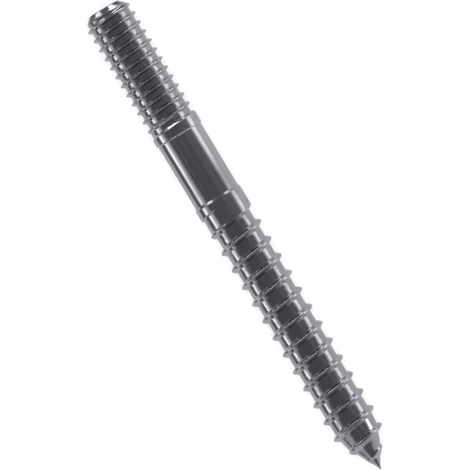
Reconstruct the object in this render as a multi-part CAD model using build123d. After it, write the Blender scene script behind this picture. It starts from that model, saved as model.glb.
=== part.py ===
from build123d import *
import os
from math import cos, pi, radians, sin, sqrt, tan

# ---------------------------------------------------------------- sizes, millimetres
# A hanger bolt: machine thread at one end, wood-screw thread and point at the other.
# "s" is the distance along the bolt, from the machine end's face towards the point.
LENGTH = 64.9            # over all, face to point
MAJOR_D = 6.24           # crests of both threads, and the two collars (1/4 in, class 2A)
SHANK_DROP = 0.17        # how far the plain shank lies below the collars

MACHINE_PITCH = 1.27     # 20 threads to the inch
MACHINE_DEPTH = 0.45
MACHINE_CREST = 0.12     # width of the flat on a crest
MACHINE_FLANK = 30.0     # angle of a flank from square to the axis, degrees
MACHINE_LAST = 16.576    # s of the groove's middle where it ends, underneath (-Z)
END_FACE_D = 3.96        # flat left inside the machine end's 45 degree chamfer

WOOD_PITCH = 2.386
WOOD_DEPTH = 0.55
WOOD_CREST = 0.20
WOOD_FLANK = 34.0
WOOD_FIRST = 28.66       # s of the groove's middle where it starts, on top (+Z)

SHANK_START = 17.67      # s where the first collar starts to drop to the shank
SHANK_END = 26.82        # s where the second collar is up to full size
STEEP_SLOPE = 0.17       # length of the slope down from the first collar
SOFT_SLOPE = 0.33        # length of the slope up to the second

FADE_TURNS = 0.5         # a groove fades in or out over half a turn
POINT_LENGTH = 6.48      # from where the root starts to curve in, to where its cone would end
POINT_ANGLE = 29.8       # half the angle of the tip's cone, degrees
CREST_KEEP = 1.65        # length of the point along which the crests keep their full height
NEEDLE = 0.20            # how far the tip is drawn out past the end of that cone
TIP_D = 0.10             # flat left at the very tip
LAST_HEIGHT = 0.36       # height of the crests above the root where the last turn starts
LOW_HEIGHT = 0.02        # and where it ends
GROOVE_GONE = 0.45       # least distance from the tip to the end of the groove
FLOOR_SLOPE = 0.8        # how much of the point's slope a groove's floor has

# ---------------------------------------------------------------- sizes that follow
MAJOR_R, TIP_R = MAJOR_D / 2, TIP_D / 2
SHANK_R = MAJOR_R - SHANK_DROP
WOOD_ROOT_R = MAJOR_R - WOOD_DEPTH
APEX = LENGTH - NEEDLE
POINT_START = APEX - POINT_LENGTH
CREST_FULL = POINT_START + CREST_KEEP
# the point is an arc that leaves the root cylinder smoothly and runs smoothly into a cone
SIN, COS, TAN = (f(radians(POINT_ANGLE)) for f in (sin, cos, tan))
ARC_R = (POINT_LENGTH * TAN - WOOD_ROOT_R) / (SIN * TAN - (1 - COS))
ARC_END = POINT_START + ARC_R * SIN
MACHINE_FACES, MACHINE_STATIONS = 2, 6     # faces to a turn, and stations along each
WOOD_FACES, WOOD_STATIONS = 4, 4
LEAD = 0.05              # plain width kept between a groove's end and the next circle
WOOD_MOUTH = WOOD_PITCH - WOOD_CREST
WOOD_TURNS = int(2 * (LENGTH - GROOVE_GONE - LEAD - WOOD_MOUTH / 2 - WOOD_FIRST) / WOOD_PITCH) / 2
WOOD_END = WOOD_FIRST + WOOD_PITCH * WOOD_TURNS + WOOD_MOUTH / 2 + LEAD
CREST_LAST = WOOD_END - LEAD - WOOD_PITCH


def wood_root(s):
    """Radius at the foot of the wood thread: cylinder, arc, cone."""
    if s <= POINT_START:
        return WOOD_ROOT_R
    if s <= ARC_END:
        return WOOD_ROOT_R - ARC_R + sqrt(ARC_R**2 - (s - POINT_START) ** 2)
    return (APEX - s) * TAN


def wood_crest(s):
    """Radius of the wood thread's crest: full, then straight to the last turn, then straight on."""
    corners = [(CREST_FULL, MAJOR_R), (CREST_LAST, wood_root(CREST_LAST) + LAST_HEIGHT),
               (WOOD_END, wood_root(WOOD_END) + LOW_HEIGHT)]
    if s <= CREST_FULL:
        return MAJOR_R
    (a, high), (b, low) = corners[:2] if s < CREST_LAST else corners[1:]
    return high + (low - high) * (s - a) / (b - a)


def place(s, r, turn):
    """The point at s and radius r; turn 0 is the +Y side and 1/4 is the top, +Z."""
    return Vector(LENGTH / 2 - s, r * cos(2 * pi * turn), MAJOR_R + r * sin(2 * pi * turn))


def arc(s, r, turn, span):
    """Part of a circle about the axis, in the direction of the threads."""
    return Edge.make_three_point_arc(*[place(s, r, turn - t) for t in (0, span / 2, span)])


def ruled(a, b):
    return Face.make_surface_from_curves(edge1=a, edge2=b)


def turned(*outline):
    """Faces turned about the axis from an outline of (s, r) corners, half a turn at a time."""
    axis = Axis(place(0, 0, 0), (-1, 0, 0))
    return [Face.revolve(Edge.make_line(place(*p, turn), place(*q, turn)), 180, axis)
            for p, q in zip(outline, outline[1:]) for turn in (0.25, -0.25)]


def thread(pitch, first, top_turn, turns, crest_w, flank, depth, floor_r, crest_r, faces, stations):
    """Faces of a bar with a right-hand helical groove, and the s of the circles it ends in.

    The groove's middle starts at first on turn top_turn and runs for some turns, fading in
    and out. floor_r gives the floor's radius from s and the distance to the groove's
    middle, and crest_r the crests' radius from s. Each strip of the surface, which is to
    say floor, flanks and crest, is ruled between two helical rails. It has some faces to
    a turn, with stations along each. A crest reaches from one turn of the groove to the next.
    """
    mouth_w = pitch - crest_w
    start_s, end_s = first - mouth_w / 2 - LEAD, first + pitch * turns + mouth_w / 2 + LEAD

    def rail(n, side, is_floor):
        points = []
        for i in range(stations + 1):
            t = (n + i / stations) / faces
            middle = first + pitch * t
            fade = min(1, t / FADE_TURNS, (turns - t) / FADE_TURNS)
            aside = side * mouth_w / 2
            if is_floor:
                deep = fade * min(depth, crest_r(middle) - floor_r(middle, 0))
                aside -= side * max(deep * tan(radians(flank)), LEAD)
            s = middle + aside
            r = crest_r(s)
            if is_floor:
                r -= fade * (r - floor_r(s, aside))
            points.append(place(s, r, top_turn - t))
        return Spline(*points)

    sides = [(-1, False), (-1, True), (1, True), (1, False)]
    rails = [[rail(n, *side) for side in sides] for n in range(round(turns * faces))]
    surface = []
    for n, row in enumerate(rails):
        turn = top_turn - n / faces
        surface += [ruled(a, b) for a, b in zip(row, row[1:])]
        if n < faces:
            surface.append(ruled(arc(start_s, crest_r(start_s), turn, 1 / faces), row[0]))
        if n + faces < len(rails):
            surface.append(ruled(row[3], rails[n + faces][0]))
        else:
            surface.append(ruled(row[3], arc(end_s, crest_r(end_s), turn, 1 / faces)))
    return surface, start_s, end_s


# ---------------------------------------------------------------- the bolt's surface
# the machine thread starts out in the air, and the end is cut to length and chamfered below
machine_turns = int(MACHINE_LAST / MACHINE_PITCH + 2)
machine, bar_start, machine_end = thread(
    MACHINE_PITCH, MACHINE_LAST - MACHINE_PITCH * machine_turns, -0.25, machine_turns, MACHINE_CREST,
    MACHINE_FLANK, MACHINE_DEPTH, lambda s, aside: MAJOR_R - MACHINE_DEPTH, lambda s: MAJOR_R,
    MACHINE_FACES, MACHINE_STATIONS)


def wood_floor(s, aside):
    middle = wood_root(s - aside)
    return middle + FLOOR_SLOPE * (wood_root(s) - middle)


wood, wood_start, wood_end = thread(
    WOOD_PITCH, WOOD_FIRST, 0.25, WOOD_TURNS, WOOD_CREST, WOOD_FLANK, WOOD_DEPTH, wood_floor,
    wood_crest, WOOD_FACES, WOOD_STATIONS)

middle = turned((machine_end, MAJOR_R), (SHANK_START, MAJOR_R), (SHANK_START + STEEP_SLOPE, SHANK_R),
                (SHANK_END - SOFT_SLOPE, SHANK_R), (SHANK_END, MAJOR_R), (wood_start, MAJOR_R))
tip = turned((wood_end, wood_crest(wood_end)), (LENGTH, TIP_R), (LENGTH, 0))
start = turned((bar_start, 0), (bar_start, MAJOR_R))
bar = Solid(Shell(start + machine + middle + wood + tip))

# ---------------------------------------------------------------- the machine end's chamfer
over = MAJOR_R + 1
end_outline = [(0, 0), (0, END_FACE_D / 2), (over - END_FACE_D / 2, over), (bar_start - 1, over), (bar_start - 1, 0)]
end_face = make_face(Polyline(*[(LENGTH / 2 - s, r) for s, r in end_outline], close=True))
bolt = bar - Pos(0, 0, MAJOR_R) * revolve(end_face, Axis.X)

bolt = bolt.solids()[0]
bolt.label = "hanger_bolt"
os.makedirs("parts", exist_ok=True)
export_step(bolt, "parts/hanger_bolt.step")
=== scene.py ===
# %% [markdown]
# # A hanger bolt
# A hanger bolt has a machine thread at one end for a nut and a wood-screw thread with a point
# at the other. Between them lies a plain shank with a low collar at each end. The model from
# model.glb comes in first, as a frame in metres, and its box gives this script its sizes.

import bmesh
import bpy
import numpy as np
from mathutils import Matrix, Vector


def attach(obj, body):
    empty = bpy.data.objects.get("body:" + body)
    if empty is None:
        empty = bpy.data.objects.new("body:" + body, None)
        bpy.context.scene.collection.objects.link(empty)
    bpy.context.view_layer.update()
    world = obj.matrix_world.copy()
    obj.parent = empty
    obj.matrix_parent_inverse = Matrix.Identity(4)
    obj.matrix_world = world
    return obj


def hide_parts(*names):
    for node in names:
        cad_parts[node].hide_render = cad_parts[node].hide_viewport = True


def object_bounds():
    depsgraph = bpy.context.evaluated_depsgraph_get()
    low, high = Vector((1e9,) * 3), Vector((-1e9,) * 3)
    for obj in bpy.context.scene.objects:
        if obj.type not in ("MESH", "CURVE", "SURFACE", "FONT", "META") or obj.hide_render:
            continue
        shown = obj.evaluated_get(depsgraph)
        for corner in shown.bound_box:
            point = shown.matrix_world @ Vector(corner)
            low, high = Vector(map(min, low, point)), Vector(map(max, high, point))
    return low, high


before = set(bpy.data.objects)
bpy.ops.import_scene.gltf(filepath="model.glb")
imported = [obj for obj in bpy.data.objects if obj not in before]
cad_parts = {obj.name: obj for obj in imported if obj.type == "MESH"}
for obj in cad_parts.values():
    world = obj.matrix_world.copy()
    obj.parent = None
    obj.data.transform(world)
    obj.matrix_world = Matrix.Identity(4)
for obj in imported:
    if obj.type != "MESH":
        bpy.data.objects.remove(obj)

cad_low, cad_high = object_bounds()
LENGTH = (cad_high.x - cad_low.x) * 1000
CREST_R = (cad_high.y - cad_low.y) * 1000 / 2
print(f"the frame's box is {LENGTH:.2f} mm long and {2 * CREST_R:.3f} mm across")

# %% [markdown]
# ## How the bolt is measured
# Everything on a turned and rolled part hangs on its axis, so each point is given by three
# numbers: s, the distance from the machine end, r, the distance from the axis, and the angle
# round it. The bolt lies along X with the machine end at +X, and its crests touch the floor.
# Lengths are in millimetres until a point is placed.

# %% Helpers for round shapes
ROWS = 96                # samples in one turn
MM = 0.001


def place(s, r, angle):
    """Position in metres: x falls with s, y is r cos(angle), z is r sin(angle) above the axis."""
    return np.stack([LENGTH / 2 - s, r * np.cos(angle), CREST_R + r * np.sin(angle)], axis=-1) * MM


def soft_rise(u, soft):
    """max(u, 0) with its corner rounded by a parabola from -soft to soft."""
    return np.where(u < -soft, 0, np.where(u > soft, u, (u + soft) ** 2 / (4 * soft)))


def soft_ramp(u, foot, top):
    """One soft rise less another: goes from 0 at u = 0 to 1 at u = 1, with rounded corners."""
    return soft_rise(u, foot) - soft_rise(u - 1, top)


def blend(a, b, share):
    """a where share is 0, b where it is 1, and a straight mix between."""
    return a + (b - a) * share


print(f"{ROWS} samples to a turn lie {2 * np.pi * CREST_R / ROWS:.3f} mm apart on a crest")

# %% [markdown]
# ## The groove of a thread
# A thread is one long groove. Seen along the axis its section has a flat floor, two straight
# flanks and a narrow crest, with small rounds where they meet: rolling dies never leave a
# sharp corner. Columns of vertices are set where the section bends, and few elsewhere, so a
# round catches the light as it should and a flat costs little.

# %% Sections of the two grooves
class Groove:
    """Sizes of one groove's section, in millimetres, and the columns that draw it.

    foot and lips are half the widths of the rounds at the floor and at the crests. There
    are two lips, one on the side of the groove nearer the machine end and one on the other.
    """

    def __init__(self, pitch, crest, depth, flank, foot, lips):
        self.pitch, self.depth = pitch, depth
        self.run = depth * np.tan(np.radians(flank))      # how far a flank goes along the axis
        self.floor = (pitch - crest) / 2 - self.run       # half the floor's width
        self.foot, self.lips = foot / self.run, np.array(lips) / self.run
        rounds = np.array([-1, -0.5, 0, 0.5, 1])
        sides = [np.concatenate([
            [0, self.floor * 0.5], self.floor + rounds * foot,
            [self.floor + (foot + self.run - lip) / 2],
            self.floor + self.run + rounds * lip, [pitch / 2]]) for lip in lips]
        self.columns = np.unique(np.concatenate([-sides[0], sides[1]]).round(9)) / pitch + 0.5

    def rise(self, aside):
        """Height above the floor, from 0 to 1: a soft ramp from a flank's foot to its lip."""
        lip = np.where(aside < 0, self.lips[0], self.lips[1])
        return soft_ramp((np.abs(aside) - self.floor) / self.run, self.foot, lip)


MACHINE = Groove(pitch=1.27, crest=0.12, depth=0.45, flank=30.0, foot=0.025, lips=(0.03, 0.03))
WOOD = Groove(pitch=2.386, crest=0.20, depth=0.55, flank=34.0, foot=0.04, lips=(0.05, 0.08))
print("columns across one turn:", len(MACHINE.columns), "and", len(WOOD.columns))

# %% [markdown]
# ## A band wound round the bar
# Each thread is one band, a function of two numbers: how many turns it has gone, and how far
# across one pitch it is. The far edge of a turn is the near edge of the next. A wedge of a
# turn at each end brings the slanting band back to a plain circle, so that the bolt closes.
# Cutting a groove out of a bar would do too, but it leaves long thin faces at the edges.

# %% The wound band
def wound_band(groove, start, turns, end_angle, radius):
    """Grid of a helical band from s = start, with the angle falling by a turn for each turn.

    At turn t the band lies from start + pitch t to start + pitch (t + 1), cut off at the
    circles where it starts and ends. radius gives r from s, the distance to the groove's
    middle, and t. Returns positions and heights, both rows by columns.
    """
    count = round((turns + 2) * ROWS) + 1
    t = (np.arange(count) / ROWS - 1)[:, None]
    near = start + groove.pitch * np.clip(t, 0, None)
    far = start + groove.pitch * np.clip(t + 1, None, turns + 1)
    s = blend(near, far, groove.columns[None, :])
    aside = s - (start + groove.pitch * (t + 0.5))
    r, height = radius(s, aside, t)
    angle = end_angle - 2 * np.pi * (t - turns) + 0 * s
    return place(s, r, angle), height


# %% [markdown]
# ## The machine thread
# Its groove has an even depth up to its last turn. The die lets go of the steel over a short
# stretch, down to some half of the depth, and what is left fades out underneath. The end was
# cut off and chamfered at 45 degrees. A chamfer could be cut with a boolean, but here the
# radius is simply never let past the chamfer's cone, which gives the same shape with no cut.

# %% Machine thread
END_R = 1.98             # the flat left inside the chamfer
MACHINE_LAST = 16.576    # s of the groove's middle where it has died out
MACHINE_ROWS = 12 * ROWS + 2     # samples along the groove, from near the end face
machine_turns = MACHINE_ROWS / ROWS
MACHINE_OUT = MACHINE_LAST + MACHINE.pitch / 2
machine_start = MACHINE_OUT - MACHINE.pitch * (machine_turns + 1)
MACHINE_FLOOR = CREST_R - MACHINE.depth
LIFT_LENGTH = 0.1        # over which the floor comes down from the first circle
TURNS_LEFT, DEPTH_LEFT = (0, 0.25, 0.52, 0.64), (0, 0.5, 0.5, 1)     # how the groove dies out


def machine_radius(s, aside, t):
    """The crest less the groove's fading depth, and never above the chamfer's cone."""
    rise = blend(1, MACHINE.rise(aside), np.interp(machine_turns - t, TURNS_LEFT, DEPTH_LEFT))
    # the floor meets the first circle at the cone's radius
    above = END_R + machine_start - MACHINE_FLOOR
    lift = above * np.clip(1 - (s - machine_start) / LIFT_LENGTH, 0, 1)
    r = blend(MACHINE_FLOOR + lift, CREST_R, rise)
    cone = END_R + s
    # the second value is the height, which also sets the colour's painted shade and sheen; it falls
    # to 0 where the chamfer cuts below the groove's floor
    return np.minimum(r, cone), rise * np.clip((cone - MACHINE_FLOOR) / MACHINE.depth, 0, 1)


machine_band = wound_band(MACHINE, machine_start, machine_turns, -np.pi / 2, machine_radius)
print(f"machine thread: {machine_turns:.2f} turns from s = {machine_start:.3f} mm")

# %% [markdown]
# ## The outline of the wood end
# The bar under the wood thread runs straight, then bends in along an arc and ends in a cone,
# drawn out a little at the tip. The crests keep their height for a while, come down in a
# straight line to the last bump, and then die out. One curve for the foot of the thread and
# one for its crests are enough: the thread is whatever lies between them.

# %% Outline of the wood end
WOOD_R = CREST_R - WOOD.depth
POINT, HALF_ANGLE = 6.48, np.radians(29.8)     # length of the point, half its cone's angle
NEEDLE = 0.20            # how far the tip is drawn out past the end of that cone
CREST_KEEP = 1.65        # length of the point along which the crests stay at full height
APEX = LENGTH - NEEDLE
BEND = APEX - POINT
ARC_R = (POINT * np.tan(HALF_ANGLE) - WOOD_R) / (np.sin(HALF_ANGLE) * np.tan(HALF_ANGLE)
                                                 - (1 - np.cos(HALF_ANGLE)))
ARC_END = BEND + ARC_R * np.sin(HALF_ANGLE)
# s and r of the crests where they start to fall, at the last bump, after it and near the tip
CREST_LINE = np.array([[BEND + CREST_KEEP, CREST_R], [62.55, 1.61], [63.45, 0.77],
                       [64.45, 0.19]])


def root_radius(s):
    """Foot of the thread: a cylinder, an arc that leaves it smoothly, and the tip's cone."""
    along = np.clip(s - BEND, 0, ARC_R)
    arc = WOOD_R - ARC_R + np.sqrt(ARC_R**2 - along**2)
    return np.where(s < ARC_END, arc, (APEX - s) * np.tan(HALF_ANGLE))


def crest_radius(s):
    """Crests: straight lines from one corner of the crest line to the next."""
    return np.interp(s, CREST_LINE[:, 0], CREST_LINE[:, 1])


print(f"the bar bends in at s = {BEND:.2f} mm and is a cone from s = {ARC_END:.2f} mm")

# %% [markdown]
# ## The wood thread
# The same band carries the wood thread. Its groove starts on the second collar. It could
# fade in by scaling its depth, but that gives a soft dent. Here the floor comes down between
# flanks that keep their slope, so the groove has a crisp edge from the start. At the point
# its floor follows most of the bar's slope.

# %% Wood thread
WOOD_FIRST = 28.66       # s of the groove's middle where it starts, on top
wood_turns = 14.5
wood_start = WOOD_FIRST - WOOD.pitch / 2
FADE_IN, FADE_OUT = 0.5, 0.2     # turns over which the groove comes and goes
CORNER = 0.04            # softness of the corner between the rising floor and the flanks
FLOOR_SLOPE = 0.8        # how much of the point's slope the groove's floor has


def wood_radius(s, aside, t):
    """A mix of the floor and the crest, by a share that is 0 on the floor and 1 on the crest.

    The share is the section's height or, while the groove fades in, the height its floor
    still has, whichever is greater. Over the last part of a turn it goes to 1.
    """
    fade_in = np.clip(t / FADE_IN, 0, 1)
    fade_out = np.clip((wood_turns - t) / FADE_OUT, 0, 1)
    full = WOOD.rise(aside)
    shallow = full + soft_rise(1 - fade_in - full, CORNER) - fade_in * soft_rise(-full, CORNER)
    rise = blend(1, np.minimum(shallow, 1), fade_out)
    floor = blend(root_radius(s - aside), root_radius(s), FLOOR_SLOPE)
    return blend(floor, crest_radius(s), rise), rise


wood_end_angle = np.pi / 2 - 2 * np.pi * wood_turns
wood_band = wound_band(WOOD, wood_start, wood_turns, wood_end_angle, wood_radius)
wood_end = wood_start + WOOD.pitch * (wood_turns + 1)
print(f"wood thread: {wood_turns} turns from s = {wood_start:.3f} to {wood_end:.3f} mm")

# %% [markdown]
# ## Shank, end and tip
# These are plain turned shapes, so rings of vertices about the axis are enough. The shank
# lies a little below its two collars, with a short slope between that has rounded corners.
# Rings stand close together where the outline bends.

# %% Plain rings
SHANK_DROP = 0.17
SHANK_FROM, SHANK_TO = 17.67, 26.82
STEEP, SOFT = 0.17, 0.33     # lengths of the slope down to the shank and of the one up again
BEND_SOFT = 0.15         # softness of the slopes' corners, as a share of the slope
TIP_R = 0.04


def rings(s, r, height):
    """Grid of circles about the axis, one for each s and r, with one height for all of them."""
    angle = np.linspace(0, 2 * np.pi, ROWS + 1)[None, :]
    s, r = np.asarray(s, float)[:, None] + 0 * angle, np.asarray(r, float)[:, None] + 0 * angle
    return place(s, r, -angle), height + 0 * s


def shank_radius(s):
    """Crest radius less the drop, which comes in over one slope and goes out over another."""
    down = soft_ramp((s - SHANK_FROM) / STEEP, BEND_SOFT, BEND_SOFT)
    up = soft_ramp((SHANK_TO - s) / SOFT, BEND_SOFT, BEND_SOFT)
    return CREST_R - SHANK_DROP * np.minimum(down, up)


bends = np.array([-0.15, -0.08, 0, 0.08, 0.15, 0.5, 0.85, 0.92, 1, 1.08, 1.15])
shank_s = np.concatenate([[MACHINE_OUT], SHANK_FROM + bends * STEEP, np.linspace(18.4, 26.0, 17),
                          np.sort(SHANK_TO - bends * SOFT), [wood_start]])
# 0.8 is no real height: it gives the shank most of the painted sheen and little painted shade
shank = rings(shank_s, shank_radius(shank_s), 0.8)

# the end face, a small round at its rim, and the start of the chamfer
end_s = np.array([0, 0, 0, 0, 0, 0.012, 0.04, 0.2, 0.4, machine_start])
end_r = np.array([0, 0.5, 1.0, 1.5, END_R - 0.03, END_R, END_R + 0.04, END_R + 0.2, END_R + 0.4,
                  END_R + machine_start])
# height 0: the end face's colour lies near the painted shade of the grooves
end = rings(end_s, end_r, 0.0)

# the drawn-out tip, with a small round at its end
tip_s = np.array([wood_end, 64.60, 64.75, 64.84, LENGTH - 0.01, LENGTH, LENGTH])
tip_r = np.array([crest_radius(wood_end), 0.15, 0.11, 0.075, TIP_R + 0.01, TIP_R, 0])
# height 0.5: the tip's colour lies between painted shade and painted sheen
tip = rings(tip_s, tip_r, 0.5)
print(f"rings: {len(end_s)} at the end, {len(shank_s)} on the shank, {len(tip_s)} at the tip")

# %% [markdown]
# ## One closed mesh
# The grids are put together and their shared edges welded, because a real bolt is one piece
# of steel. A closed mesh has a true volume, which is printed as a test of the whole shape.

# %% Weld the grids into the bolt
def grid_faces(rows, columns, first):
    """Four corners of each cell, as indices counted from first, with the faces turned outwards."""
    index = first + np.arange(rows * columns).reshape(rows, columns)
    cells = np.stack([index[:-1, :-1], index[:-1, 1:], index[1:, 1:], index[1:, :-1]], axis=-1)
    return cells.reshape(-1, 4)


def close_up(mesh, weld=2e-7):
    """Merges vertices nearer than weld, in metres, and returns the open edges and the volume."""
    work = bmesh.new()
    work.from_mesh(mesh)
    bmesh.ops.remove_doubles(work, verts=work.verts, dist=weld)
    bmesh.ops.recalc_face_normals(work, faces=work.faces)
    open_edges = sum(not edge.is_manifold for edge in work.edges)
    volume = work.calc_volume() / MM**3
    work.to_mesh(mesh)
    work.free()
    return open_edges, volume


def welded(name, grids):
    """One mesh object from a list of grids, each with positions, heights and a material's index."""
    points, faces, heights, slots = [], [], [], []
    first = 0
    for (positions, height), slot in grids:
        rows, columns = positions.shape[:2]
        cells = grid_faces(rows, columns, first)
        points.append(positions.reshape(-1, 3))
        heights.append(height.reshape(-1))
        faces.append(cells)
        slots.append(np.full(len(cells), slot))
        first += rows * columns
    mesh = bpy.data.meshes.new(name)
    mesh.from_pydata(np.concatenate(points), [], np.concatenate(faces))
    mesh.polygons.foreach_set("material_index", np.concatenate(slots))
    # the steels use the heights to paint shade into the grooves and sheen onto the crests, and to
    # lessen the relief on the crests
    layer = mesh.attributes.new("height", "FLOAT", "POINT")
    layer.data.foreach_set("value", np.concatenate(heights))
    open_edges, volume = close_up(mesh)
    mesh.polygons.foreach_set("use_smooth", np.ones(len(mesh.polygons), bool))
    triangles = sum(len(p.vertices) - 2 for p in mesh.polygons)
    print(f"{name}: {triangles} triangles, {open_edges} open edges, {volume:.1f} cubic mm")
    thing = bpy.data.objects.new(name, mesh)
    bpy.context.scene.collection.objects.link(thing)
    return thing


THREAD, SHANK, END = 0, 1, 2
bolt = welded("bolt_body", [(end, END), (machine_band, THREAD), (shank, SHANK),
                            (wood_band, THREAD), (tip, THREAD)])

# %% [markdown]
# ## Where the shank is dulled
# Bolts lie loose in a box and rub on each other, so the shank has lost some of its gloss
# near the second collar. This could be painted by hand, but two soft spots, each a bell along
# the shank times a bell round it, are enough and stay where they are if the mesh changes.

# %% Dull spots
SPOT_S, SPOT_LENGTH, SPOT_WIDTH = 25, 3, 12     # millimetres along, degrees round


def soft_spot(value, middle, reach):
    """1 at the middle, falling as a bell: exp(-((value - middle) / reach)^2)."""
    return np.exp(-((value - middle) / reach) ** 2)


spots = np.empty(len(bolt.data.vertices) * 3)
bolt.data.vertices.foreach_get("co", spots)
x, y, z = spots.reshape(-1, 3).T / MM
along, around = LENGTH / 2 - x, np.degrees(np.arctan2(y, z - CREST_R))
wear = soft_spot(along, SPOT_S, SPOT_LENGTH) * (
    soft_spot(around, -38, SPOT_WIDTH) + 0.35 * soft_spot(around, 42, SPOT_WIDTH))
bolt.data.attributes.new("wear", "FLOAT", "POINT").data.foreach_set("value", wear)
print(f"dulled by up to {wear.max():.2f}")

# %% [markdown]
# ## Wiring nodes
# A material is a net of small nodes. It could be wired by hand in the editor, but a script
# can be read and changed. Each helper here adds one node, links it up and hands back its
# output, so that a finish further down reads like a formula.

# %% Helpers for node trees
class Wiring:
    """Adds nodes to one tree. Values handed in and out are the sockets that carry them."""

    def __init__(self, tree):
        self.nodes, self.link = tree.nodes, tree.links.new

    def ranged(self, value, low, high):
        """low + (high - low) times the value, which is held between 0 and 1."""
        rescale = self.nodes.new("ShaderNodeMapRange")
        rescale.inputs["To Min"].default_value = low
        rescale.inputs["To Max"].default_value = high
        self.link(value, rescale.inputs["Value"])
        return rescale.outputs["Result"]

    def joined(self, operation, a, b):
        """The sum (ADD), the product (MULTIPLY) or the greater (MAXIMUM) of two values."""
        result = self.nodes.new("ShaderNodeMath")
        result.operation = operation
        self.link(a, result.inputs[0])
        self.link(b, result.inputs[1])
        return result.outputs[0]

    def mixed(self, a, b, share):
        """Colour a where share is 0 and b where it is 1; each is a socket or three numbers."""
        mix = self.nodes.new("ShaderNodeMix")
        mix.data_type = "RGBA"
        for name, value in (("A", a), ("B", b)):
            target = next(s for s in mix.inputs if s.name == name and s.type == "RGBA")
            if isinstance(value, tuple):
                target.default_value = (*value, 1)
            else:
                self.link(value, target)
        self.link(share, mix.inputs["Factor"])
        return next(s for s in mix.outputs if s.type == "RGBA")

    def attribute(self, name):
        """The number that the mesh stores under a name."""
        reader = self.nodes.new("ShaderNodeAttribute")
        reader.attribute_name = name
        return reader.outputs["Fac"]


print("helpers for nodes:", [name for name in vars(Wiring) if not name.startswith("_")])

# %% [markdown]
# ## Marks left by making
# The bolt is cold-drawn wire, rolled and then plated with bright zinc. Drawing leaves faint
# lines along the axis, while plating evens out the gloss and leaves soft clouds. An image
# would need a seam somewhere, so both come from noise: stretched for the lines and even for
# the clouds. One node group makes them for every steel finish, and each sets how they lie.

# %% A node group for marks left by making
def make_marks():
    """Group: stretched noise for lines, its highest ridges for scratches, even noise for clouds."""
    group = bpy.data.node_groups.new("making marks", "ShaderNodeTree")
    socket = group.interface.new_socket
    for name, value in (("Along", 200.0), ("Across", 6000.0), ("Cloud size", 500.0)):
        socket(name, in_out="INPUT", socket_type="NodeSocketFloat").default_value = value
    for name in ("Lines", "Clouds", "Scratches"):
        socket(name, in_out="OUTPUT", socket_type="NodeSocketFloat")
    nodes, link = group.nodes, group.links.new
    given, out = nodes.new("NodeGroupInput"), nodes.new("NodeGroupOutput")
    where = nodes.new("ShaderNodeTexCoord")
    scale = nodes.new("ShaderNodeCombineXYZ")
    link(given.outputs["Along"], scale.inputs["X"])
    link(given.outputs["Across"], scale.inputs["Y"])
    link(given.outputs["Across"], scale.inputs["Z"])
    stretch = nodes.new("ShaderNodeVectorMath")
    stretch.operation = "MULTIPLY"
    link(where.outputs["Object"], stretch.inputs[0])
    link(scale.outputs[0], stretch.inputs[1])
    lines = nodes.new("ShaderNodeTexNoise")
    lines.inputs["Scale"].default_value = 1.0
    lines.inputs["Detail"].default_value = 3.0
    link(stretch.outputs[0], lines.inputs["Vector"])
    clouds = nodes.new("ShaderNodeTexNoise")
    clouds.inputs["Detail"].default_value = 2.0
    link(where.outputs["Object"], clouds.inputs["Vector"])
    link(given.outputs["Cloud size"], clouds.inputs["Scale"])
    for noise, name, low, high in ((lines, "Lines", 0.3, 0.7), (clouds, "Clouds", 0.3, 0.7),
                                   (lines, "Scratches", 0.58, 0.66)):
        spread = nodes.new("ShaderNodeMapRange")
        spread.inputs["From Min"].default_value = low
        spread.inputs["From Max"].default_value = high
        link(noise.outputs["Fac"], spread.inputs["Value"])
        link(spread.outputs["Result"], out.inputs[name])
    return group


marks = make_marks()
print("group", marks.name, "has outputs",
      [s.name for s in marks.interface.items_tree if s.in_out == "OUTPUT"])

# %% [markdown]
# ## Steel
# Zinc on steel is a plain metal: its colour is what it reflects, and its look comes from how
# smooth it is. Lines, clouds and dull spots darken the colour and roughen the gloss a little,
# and a relief of some thousandths of a millimetre makes the reflections waver. Rolling dies
# press the crests smoothest, so the relief is least there. The colour also carries painted
# shade and a painted sheen: it is darker in the grooves and lighter on the crests.

# %% A steel material
DARKER_LINES = 0.7       # colour of the darkest draw lines, as a share of the colour with painted shade
DULLED = 0.4             # and of the dull spots
DULL_ROUGHNESS = 0.12    # roughness that a dull spot adds
CREST_RELIEF = 0.1       # share of the relief left on a crest


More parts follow.
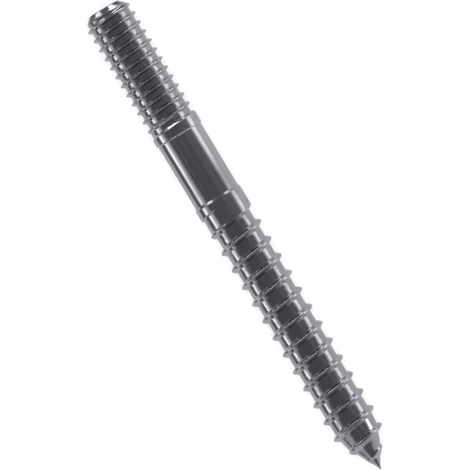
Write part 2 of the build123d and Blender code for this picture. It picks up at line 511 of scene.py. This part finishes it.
def steel(name, along, across, cloud, shaded_colour, lit_colour, rough, relief):
    """Metal whose colour has painted shade in the grooves and a painted sheen on the crests.

    Marks and worn spots then mix darker tones over it. rough is the roughness where the lines
    and clouds are weakest, where they are strongest, and what a scratch adds to their sum.
    relief is the depth of the lines and of the clouds, in metres.
    """
    material = bpy.data.materials.new(name)
    material.use_nodes = True
    wiring = Wiring(material.node_tree)
    link, ranged, joined, mixed = wiring.link, wiring.ranged, wiring.joined, wiring.mixed
    metal = wiring.nodes["Principled BSDF"]
    metal.inputs["Metallic"].default_value = 1.0
    made = wiring.nodes.new("ShaderNodeGroup")
    made.node_tree = marks
    made.inputs["Along"].default_value = along
    made.inputs["Across"].default_value = across
    made.inputs["Cloud size"].default_value = cloud
    lines, clouds, scratches = (made.outputs[n] for n in ("Lines", "Clouds", "Scratches"))
    height, wear = wiring.attribute("height"), wiring.attribute("wear")

    # painted shade and sheen: the colour is darker on the groove floors and lighter on the crests
    base = mixed(shaded_colour, lit_colour, ranged(height, 0.25, 1.0))
    cloudy = mixed(base, shaded_colour, ranged(clouds, 0.0, 0.5))
    lined = mixed(cloudy, tuple(DARKER_LINES * c for c in shaded_colour), ranged(lines, 0.0, 0.8))
    worn = mixed(lined, tuple(DULLED * c for c in shaded_colour), ranged(wear, 0.0, 0.85))
    link(worn, metal.inputs["Base Color"])

    gloss = joined("ADD", ranged(lines, rough[0] / 2, rough[1] / 2),
                   ranged(clouds, rough[0] / 2, rough[1] / 2))
    marked = joined("ADD", gloss, ranged(scratches, 0.0, rough[2]))
    link(joined("ADD", marked, ranged(wear, 0.0, DULL_ROUGHNESS)), metal.inputs["Roughness"])

    bump = wiring.nodes.new("ShaderNodeBump")
    bump.inputs["Strength"].default_value = 1.0
    bump.inputs["Distance"].default_value = 1.0
    waves = joined("ADD", ranged(lines, 0.0, relief[0]), ranged(clouds, 0.0, relief[1]))
    link(joined("MULTIPLY", waves, ranged(height, 1.0, CREST_RELIEF)), bump.inputs["Height"])
    link(bump.outputs["Normal"], metal.inputs["Normal"])
    return material


# %% [markdown]
# ## Three finishes
# The rolled threads have short lines and even clouds, the drawn shank long fine lines, and
# the cut end a rougher face with no direction. Three materials on one mesh keep it one piece.

# %% Steels of the bolt
# in each steel the darker colour is painted shade for the grooves and the lighter one a painted
# sheen for the crests
thread_steel = steel("rolled_thread_steel", along=500.0, across=3600.0, cloud=1800.0,
                     shaded_colour=(0.66, 0.66, 0.69), lit_colour=(0.85, 0.85, 0.88),
                     rough=(0.06, 0.14, 0.25), relief=(1.2e-6, 9.0e-6))
shank_steel = steel("drawn_shank_steel", along=25.0, across=4600.0, cloud=900.0,
                    shaded_colour=(0.71, 0.71, 0.74), lit_colour=(0.85, 0.85, 0.88),
                    rough=(0.06, 0.13, 0.45), relief=(2.0e-6, 8.0e-6))
end_steel = steel("cut_end_steel", along=3000.0, across=3000.0, cloud=2000.0,
                  shaded_colour=(0.63, 0.63, 0.65), lit_colour=(0.80, 0.80, 0.82),
                  rough=(0.10, 0.24, 0.10), relief=(1.0e-6, 3.0e-6))
for material in (thread_steel, shank_steel, end_steel):
    bolt.data.materials.append(material)
print("steels:", [m.name for m in bolt.data.materials])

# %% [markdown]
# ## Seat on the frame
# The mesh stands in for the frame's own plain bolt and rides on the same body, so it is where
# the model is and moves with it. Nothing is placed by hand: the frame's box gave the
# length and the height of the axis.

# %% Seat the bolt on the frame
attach(bolt, "root")
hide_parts("hanger_bolt")
print(bolt.name, "rides on root and replaces hanger_bolt")

# %% [markdown]
# ## Floor and sky
# The bolt lies on a plain white floor under a white sky. The floor is pale paint lit at a
# plain level, and what it lacks to pure white is added only where the eye or a reflection
# looks, so the bolt keeps its shadow.

# %% Helpers for the stage
def stage_grid(name, positions, material):
    """A stage object from a grid of positions; it isn't part of the bolt."""
    rows, columns = positions.shape[:2]
    mesh = bpy.data.meshes.new(name)
    mesh.from_pydata(positions.reshape(-1, 3), [], grid_faces(rows, columns, 0))
    mesh.materials.append(material)
    thing = bpy.data.objects.new(name, mesh)
    bpy.context.scene.collection.objects.link(thing)
    return thing


def looking_rays(wiring):
    """1 for rays from the eye, from a reflection or through glass, and 0 for the rest."""
    path = wiring.nodes.new("ShaderNodeLightPath").outputs
    looking = wiring.joined("MAXIMUM", path["Is Camera Ray"], path["Is Glossy Ray"])
    return wiring.joined("MAXIMUM", looking, path["Is Transmission Ray"])


# %% Floor and world
FLOOR_HALF = 3.0         # half the floor's width, in metres
FLOOR_GREY, FLOOR_LIFT = 0.36, 0.69     # the paint, and the light added where one looks
SKY_LIGHT = 0.35         # what the sky gives as a lamp; it looks white

paint = bpy.data.materials.new("white_floor")
paint.use_nodes = True
wiring = Wiring(paint.node_tree)
surface = wiring.nodes["Principled BSDF"].inputs
surface["Base Color"].default_value = (FLOOR_GREY, FLOOR_GREY, FLOOR_GREY, 1)
surface["Roughness"].default_value = 1.0
surface["Specular IOR Level"].default_value = 0.0
surface["Emission Color"].default_value = (1, 1, 1, 1)
wiring.link(wiring.ranged(looking_rays(wiring), 0.0, FLOOR_LIFT), surface["Emission Strength"])

steps = np.linspace(-FLOOR_HALF, FLOOR_HALF, 3)
u, v = np.meshgrid(steps, steps, indexing="ij")
stage_grid("floor", np.stack([u, v, 0 * u], axis=-1), paint)

sky = bpy.data.worlds.new("white_sky")
bpy.context.scene.world = sky
sky.use_nodes = True
wiring = Wiring(sky.node_tree)
background = wiring.nodes["Background"].inputs
wiring.link(wiring.ranged(looking_rays(wiring), SKY_LIGHT, 1.0), background["Strength"])
background["Color"].default_value = (1, 1, 1, 1)
print(f"floor {2 * FLOOR_HALF:.0f} m wide under {sky.name}")

# %% [markdown]
# ## A tent of light and dark
# Bright metal shows what stands round it and little else, so a studio shapes it with cards.
# Here a half ball of card stands round the bolt, painted with light: dark overhead, which
# gives the bolt a dark middle, and bright low at both sides, which draws the two long
# highlights. The camera doesn't see the cards and no light falls from them. Only mirror-like
# surfaces show them.

# %% Helpers for cards
def tone(level, blue=0.03):
    """A card's colour: one level of light, with a trace of blue."""
    return np.array([level, level, level * (1 + blue)])


def card_material(name, colour):
    """Even light of one colour, as from paper or a soft panel."""
    material = bpy.data.materials.new(name)
    material.use_nodes = True
    nodes = material.node_tree.nodes
    nodes.remove(nodes["Principled BSDF"])
    glow = nodes.new("ShaderNodeEmission")
    glow.inputs["Color"].default_value = (*colour, 1)
    glow.inputs["Strength"].default_value = 1.0
    material.node_tree.links.new(glow.outputs[0], nodes["Material Output"].inputs["Surface"])
    return material


def only_in_metal(thing):
    """The card shows in reflections alone: it is no lamp, casts no shadow and hides nothing."""
    thing.visible_camera = thing.visible_diffuse = thing.visible_shadow = False
    thing.visible_transmission = thing.visible_volume_scatter = False


def soft_edge(value, low, high, soft):
    """1 between low and high and 0 outside, with edges that fade over a width of soft."""
    rise = np.clip((value - low) / soft + 0.5, 0, 1)
    fall = np.clip((high - value) / soft + 0.5, 0, 1)
    return rise * rise * (3 - 2 * rise) * fall * fall * (3 - 2 * fall)


print("a card of level 1 has the colour", tone(1.0))

# %% The tent and its paint
TENT_R = 0.4             # radius in metres
TENT_STEP, TENT_RISE = 2, 1     # degrees between its columns and rows

turn, rise = np.meshgrid(np.radians(np.arange(-180, 181, TENT_STEP)),
                         np.radians(np.arange(0, 91, TENT_RISE)), indexing="ij")
ball = np.stack([np.cos(rise) * np.cos(turn), np.cos(rise) * np.sin(turn), np.sin(rise)], axis=-1)
tent_light = card_material("tent_light", (1, 1, 1))
tent = stage_grid("studio_tent", ball * TENT_R, tent_light)
only_in_metal(tent)

# compass angle 0 is past the machine end, -90 to the right of the bolt and 90 to its left
ROUND, OVER = (-400, 400), 200     # all the way round, and up past the top
patches = (
    # compass angles, heights, width of the soft edge, colour
    (ROUND, (27, OVER), 20, tone(0.084, 0.12)),           # the dark card overhead
    ((-60, 60), (30, 75), 25, tone(0.11, 0.12)),          # its paler part past the machine end
    ((-140, -40), (34, 66), 18, tone(0.120, 0.12)),       # and on the right
    ((-400, -155), (14, OVER), 18, tone(0.10, 0.10)),     # its low part past the point
    ((155, 400), (14, OVER), 18, tone(0.10, 0.10)),
    ((-112, -68), (-20, 19), 10, tone(0.90)),             # the wide panel on the right
    ((-103, -82), (-20, 17), 9, tone(1.12)),              # its bright middle
    ((-122, -104), (-20, 18), 6, tone(2.0)),              # its near end, which lights the point
    ((70, 112), (-20, 20), 14, tone(0.62)),               # the panel on the left
    ((82, 102), (-20, 11), 9, tone(1.45)),                # its narrow bright strip
    ((24, 46), (15, 34), 6, tone(1.10)),                  # a panel past the machine end, which
    ((-50, -22), (0, 25), 7, tone(1.0)),                  # lights slopes, and one to its right
    ((50, 78), (-20, 32), 8, tone(0.16)),                 # a dark card beside the left panel,
    ((100, 138), (-20, 36), 12, tone(0.38)),              # and a grey one on its other side
    ((-18, 40), (-20, 14), 6, tone(0.15)),                # a dark card low past the machine end
    ((-6, 22), (3.5, 13), 4, tone(2.20)),                 # and a small bright one in its middle
)


def painted(azimuth, height):
    """Light of the tent: a grey, over which each patch is blended in its turn."""
    light = np.tile(tone(0.44), (*azimuth.shape, 1))
    for (a0, a1), (e0, e1), soft, colour in patches:
        share = soft_edge(azimuth, a0, a1, soft) * soft_edge(height, e0, e1, soft)
        light = blend(light, colour, share[..., None])
    return light


light = painted(np.degrees(turn), np.degrees(rise)).reshape(-1, 3)
layer = tent.data.attributes.new("glow", "FLOAT_COLOR", "POINT")
layer.data.foreach_set("color", np.concatenate([light, np.ones((len(light), 1))], axis=1).ravel())
reader = tent_light.node_tree.nodes.new("ShaderNodeAttribute")
reader.attribute_name = "glow"
tent_light.node_tree.links.new(reader.outputs["Color"],
                               tent_light.node_tree.nodes["Emission"].inputs["Color"])
print(f"tent with {len(patches)} patches, light from {light.min():.2f} to {light.max():.2f}")

# %% [markdown]
# ## Cards on the floor and past the end
# The lower half of the bolt mirrors what lies on the floor, so grey card lies there, with
# darker card along the left side and before the machine end. The chamfer faces the horizon
# past the machine end: two upright white cards give it two bright patches, and a dark one
# stands between them.

# %% Cards near the bolt
def flat_card(name, x, y, level, colour):
    """Card between two x and two y in millimetres, at a level above the floor in metres."""
    u, v = np.meshgrid(np.array(x) * MM, np.array(y) * MM, indexing="ij")
    only_in_metal(stage_grid(name, np.stack([u, v, level + 0 * u], axis=-1),
                             card_material(name, colour)))


def standing_card(name, away, y, z, colour):
    """Upright card across the axis, some millimetres past the machine end."""
    v, w = np.meshgrid(np.array(y) * MM, np.array(z) * MM, indexing="ij")
    x = (LENGTH / 2 + away) * MM + 0 * v
    only_in_metal(stage_grid(name, np.stack([x, v, w], axis=-1), card_material(name, colour)))


flat_card("grey_card", (-300, 300), (-300, 300), 2e-5, tone(0.50))
flat_card("dark_card", (-60, 60), (11, 70), 3e-5, tone(0.12))
flat_card("dark_front", (35, 120), (-8, 8), 4e-5, tone(0.12))
standing_card("white_left", 13, (2.8, 9.5), (0.5, 5.2), tone(1.9))
standing_card("white_right", 13, (-12, -4.2), (0.2, 12), tone(2.2))
standing_card("dark_near", 5, (-1.9, 1.9), (3, 8.0), tone(0.13))

# %% [markdown]
# ## Lamp
# One wide lamp overhead lights the floor and leaves a soft, thin shadow. A small lamp would
# draw a hard one. The steel doesn't show the lamp, because a round spot would lie across the
# dark middle.

# %% Lamp
LAMP_HEIGHT, LAMP_WIDTH = 0.9, 0.5     # metres
LAMP_WATTS = 6.2

lamp = bpy.data.lights.new("overhead", "AREA")
lamp.shape, lamp.size = "DISK", LAMP_WIDTH
lamp.energy = LAMP_WATTS
lamp_object = bpy.data.objects.new("overhead", lamp)
lamp_object.location = (0, 0, LAMP_HEIGHT)
lamp_object.visible_glossy = False
bpy.context.scene.collection.objects.link(lamp_object)
print(f"lamp of {LAMP_WATTS} W, {LAMP_WIDTH} m wide and {LAMP_HEIGHT} m up")

# %% [markdown]
# ## Camera
# The bolt lies on its side and the camera looks straight down on it, from far enough that
# the bolt's two ends are seen at one scale. The picture is turned so that the machine end
# points to the upper left.

# %% Camera
VIEW_WIDTH = 0.05673     # width of the picture at the bolt's axis, in metres
DISTANCE = 1.1           # from the camera to the axis
AIM = (0.000872, 0.000494)     # x and y that the middle of the picture shows
SENSOR = 36.0

camera = bpy.data.cameras.new("camera")
camera.sensor_width = SENSOR
camera.lens = SENSOR * DISTANCE / VIEW_WIDTH
camera.clip_start, camera.clip_end = 0.05, 10.0
eye = bpy.data.objects.new("camera", camera)
bpy.context.scene.collection.objects.link(eye)
right, up = (-0.51632, -0.85639), (0.85639, -0.51632)     # the picture's directions, on the floor
eye.matrix_world = Matrix((
    (right[0], up[0], 0, AIM[0]),
    (right[1], up[1], 0, AIM[1]),
    (0, 0, 1, DISTANCE + CREST_R * MM),
    (0, 0, 0, 1)))
bpy.context.scene.camera = eye
bpy.context.scene.view_settings.view_transform = "Standard"
print(f"camera {DISTANCE:.1f} m above the axis with a lens of {camera.lens:.0f} mm")

# %% [markdown]
